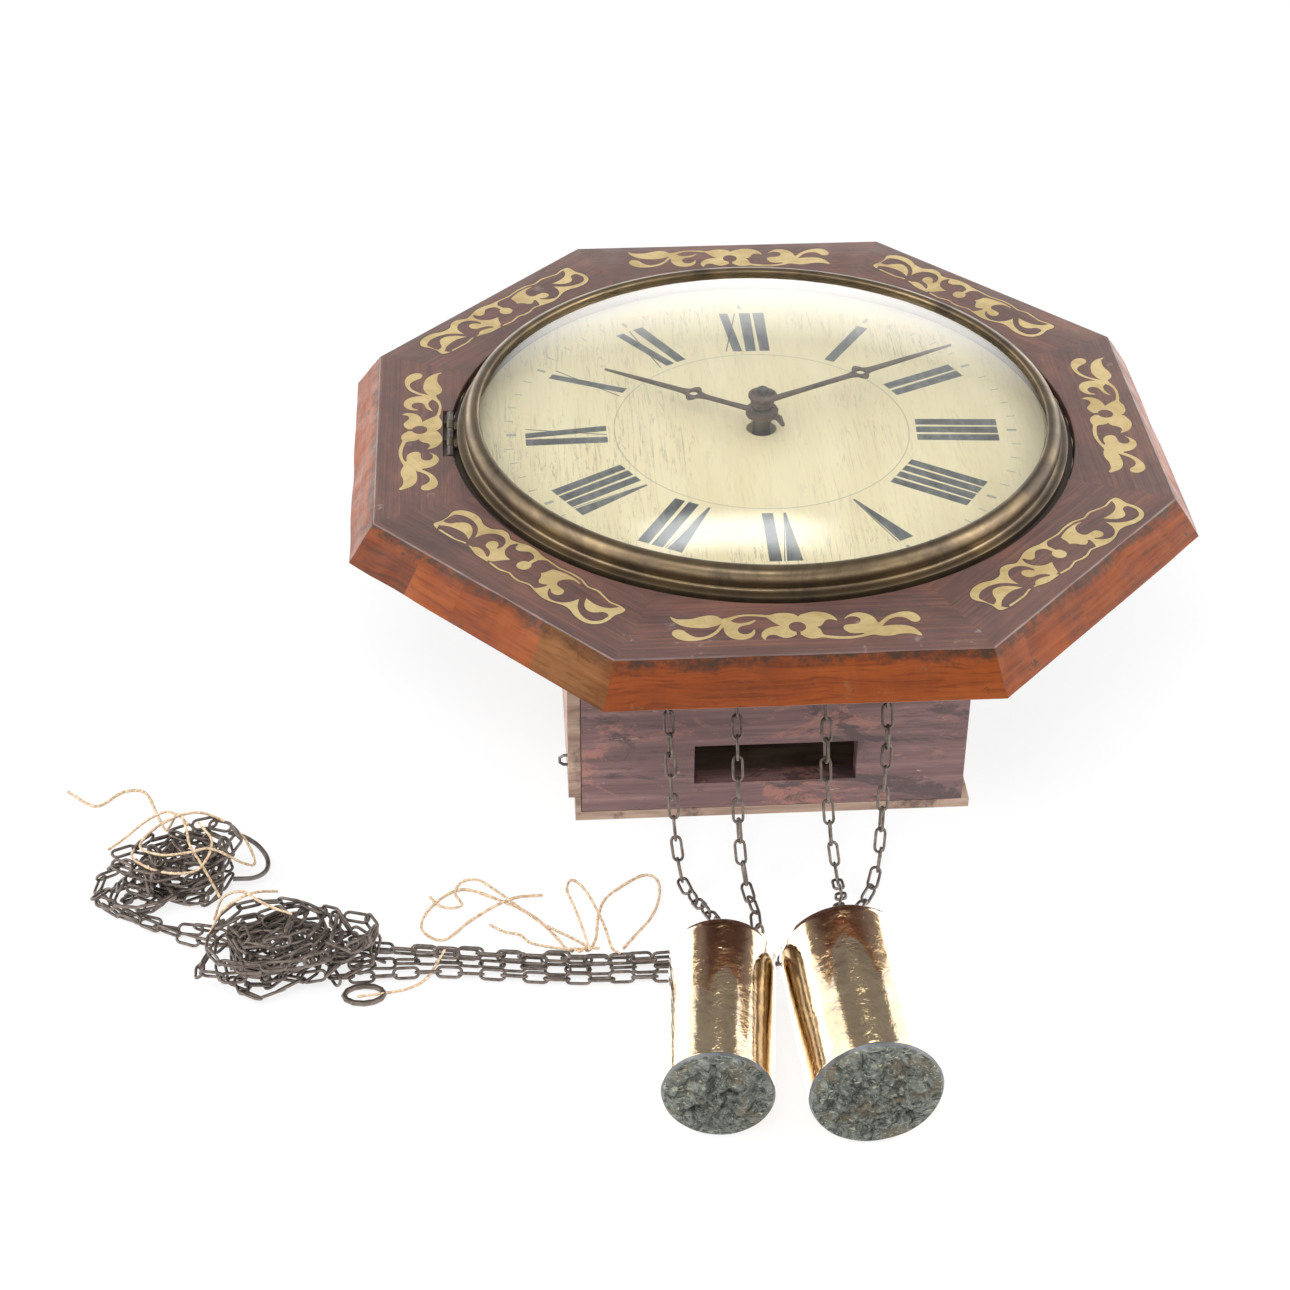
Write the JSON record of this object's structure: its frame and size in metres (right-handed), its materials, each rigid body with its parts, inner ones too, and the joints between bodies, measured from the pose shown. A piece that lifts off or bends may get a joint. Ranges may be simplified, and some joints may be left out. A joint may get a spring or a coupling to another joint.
{
  "type": "octagonal wall clock",
  "caption": "Octagonal veneered wall clock with brass inlays, domed glass in a brass bezel, painted wood dial, pierced hands, chain-driven brass movement, striking train and sleeved weights.",
  "frame": {"origin": "on the back of the case's back board, straight behind the centre of the dial", "axes": "+Z out of the dial towards the viewer, +Y to twelve o'clock, +X to three o'clock; the clock lies on its back on z = 0"},
  "size_m": [0.4339, 0.4407, 0.1306],
  "materials": {
    "mahogany_veneer": "polished",
    "old_pine": "bare, stained by age",
    "dial_paint": "painted",
    "brass": "satin",
    "bezel_brass": "dark patina",
    "steel": "dull",
    "hand_iron": "browned",
    "glass": "clear",
    "lead": "dull",
    "chain_steel": "dull",
    "hemp": "matte"
  },
  "bodies": {
    "case": {"octagon_frame": "mahogany_veneer", "inlay_bottom": "brass", "inlay_top": "brass", "inlay_left": "brass", "inlay_right": "brass", "inlay_bottom_left": "brass", "inlay_bottom_right": "brass", "inlay_top_left": "brass", "inlay_top_right": "brass", "back_board": "old_pine", "top_board": "old_pine", "bottom_board": "old_pine", "dial_board": "dial_paint", "left_hinge_leaf": "steel", "right_hinge_leaf": "steel", "bezel_hinge_leaf": "bezel_brass", "back_plate": "brass", "front_plate": "brass", "gong": "steel", "strike_chain": "chain_steel", "going_chain": "chain_steel", "chain_fold": "chain_steel", "chain_hank_near": "chain_steel", "chain_hank_far": "chain_steel", "chain_end_ring": "chain_steel", "twine_middle": "hemp", "twine_left": "hemp"},
    "left_door": {"left_door": "old_pine", "left_door_knuckle": "steel", "left_door_pull": "steel"},
    "right_door": {"right_door": "old_pine", "right_door_knuckle": "steel"},
    "bezel": {"bezel_ring": "bezel_brass", "bezel_glass": "glass"},
    "minute_hand": {"minute_hand": "hand_iron", "hand_collet": "brass", "hand_pin": "brass", "minute_arbor": "steel", "minute_wheel": "brass"},
    "hour_hand": {"hour_hand": "hand_iron", "hour_wheel": "brass"},
    "intermediate": {"intermediate_wheel": "brass"},
    "going_great": {"going_arbor": "steel", "going_great_wheel": "brass"},
    "going_chain_wheel": {"going_chain_wheel": "brass"},
    "second": {"second_wheel": "brass"},
    "escape": {"escape_wheel": "brass"},
    "anchor": {"anchor_and_crutch": "steel"},
    "strike_great": {"strike_arbor": "steel", "strike_great_wheel": "brass"},
    "strike_chain_wheel": {"strike_chain_wheel": "brass"},
    "pin_wheel": {"pin_wheel": "brass"},
    "fly": {"fly": "steel"},
    "hammer": {"hammer": "steel"},
    "left_weight": {"left_weight_sleeve": "brass", "left_weight_core": "lead", "left_weight_hook": "steel"},
    "right_weight": {"right_weight_sleeve": "brass", "right_weight_core": "lead", "right_weight_hook": "steel"}
  },
  "joints": [
    {"name": "minute_hand_turn", "type": "hinge", "parent": "case", "child": "minute_hand", "pos_m": [0, 0, 0.11], "axis": [0, 0, -1], "continuous": true},
    {"name": "hour_hand_turn", "type": "hinge", "parent": "case", "child": "hour_hand", "pos_m": [0, 0, 0.11], "axis": [0, 0, -1], "continuous": true},
    {"name": "intermediate_turn", "type": "hinge", "parent": "case", "child": "intermediate", "pos_m": [-0.011, 0.01905, 0.088], "axis": [0, 0, -1], "continuous": true},
    {"name": "going_great_turn", "type": "hinge", "parent": "case", "child": "going_great", "pos_m": [0.0263, -0.03, 0.069], "axis": [0, 0, -1], "continuous": true},
    {"name": "going_winding_turn", "type": "hinge", "parent": "going_great", "child": "going_chain_wheel", "pos_m": [0.0263, -0.03, 0.062], "axis": [0, 0, -1], "continuous": true},
    {"name": "second_turn", "type": "hinge", "parent": "case", "child": "second", "pos_m": [0.014, 0.0038, 0.0755], "axis": [0, 0, -1], "continuous": true},
    {"name": "escape_turn", "type": "hinge", "parent": "case", "child": "escape", "pos_m": [-0.0024, 0.02449, 0.049], "axis": [0, 0, -1], "continuous": true},
    {"name": "anchor_swing", "type": "hinge", "parent": "case", "child": "anchor", "pos_m": [-0.0024, 0.04349, 0.049], "axis": [0, 0, 1], "range_deg": [-2.5, 2.5]},
    {"name": "strike_great_turn", "type": "hinge", "parent": "case", "child": "strike_great", "pos_m": [-0.031, -0.03, 0.053], "axis": [0, 0, -1], "continuous": true},
    {"name": "strike_winding_turn", "type": "hinge", "parent": "strike_great", "child": "strike_chain_wheel", "pos_m": [-0.031, -0.03, 0.062], "axis": [0, 0, -1], "continuous": true},
    {"name": "pin_wheel_turn", "type": "hinge", "parent": "case", "child": "pin_wheel", "pos_m": [-0.03631, 0.00014, 0.0462], "axis": [0, 0, -1], "continuous": true},
    {"name": "fly_turn", "type": "hinge", "parent": "case", "child": "fly", "pos_m": [-0.0382, 0.02165, 0.05], "axis": [0, 0, -1], "continuous": true},
    {"name": "hammer_lift", "type": "hinge", "parent": "case", "child": "hammer", "pos_m": [-0.048, 0.04, 0.05], "axis": [0, 0, -1], "range_deg": [0, 8]},
    {"name": "bezel_open", "type": "hinge", "parent": "case", "child": "bezel", "pos_m": [-0.1216, 0, 0.109], "axis": [0, -1, 0], "range_deg": [0, 110]},
    {"name": "left_door_open", "type": "hinge", "parent": "case", "child": "left_door", "pos_m": [-0.0829, 0, 0.0918], "axis": [0, 1, 0], "range_deg": [0, 90]},
    {"name": "right_door_open", "type": "hinge", "parent": "case", "child": "right_door", "pos_m": [0.0719, 0, 0.0918], "axis": [0, -1, 0], "range_deg": [0, 90]},
    {"name": "left_weight_swing", "type": "hinge", "parent": "case", "child": "left_weight", "pos_m": [-0.0297, -0.1917, 0.0187], "axis": [0, 0, 1], "range_deg": [-12, 3]},
    {"name": "right_weight_swing", "type": "hinge", "parent": "case", "child": "right_weight", "pos_m": [0.0097, -0.1948, 0.0223], "axis": [0, 0, 1], "range_deg": [-3, 12]}
  ],
  "couplings": [
    {"joint": "hour_hand_turn", "follows": "minute_hand_turn", "ratio": 0.083333},
    {"joint": "intermediate_turn", "follows": "minute_hand_turn", "ratio": -0.33333},
    {"joint": "going_great_turn", "follows": "minute_hand_turn", "ratio": -0.83333},
    {"joint": "second_turn", "follows": "minute_hand_turn", "ratio": 8.3333},
    {"joint": "escape_turn", "follows": "minute_hand_turn", "ratio": -75},
    {"joint": "pin_wheel_turn", "follows": "strike_great_turn", "ratio": -7.5},
    {"joint": "fly_turn", "follows": "strike_great_turn", "ratio": 52.5}
  ]
}
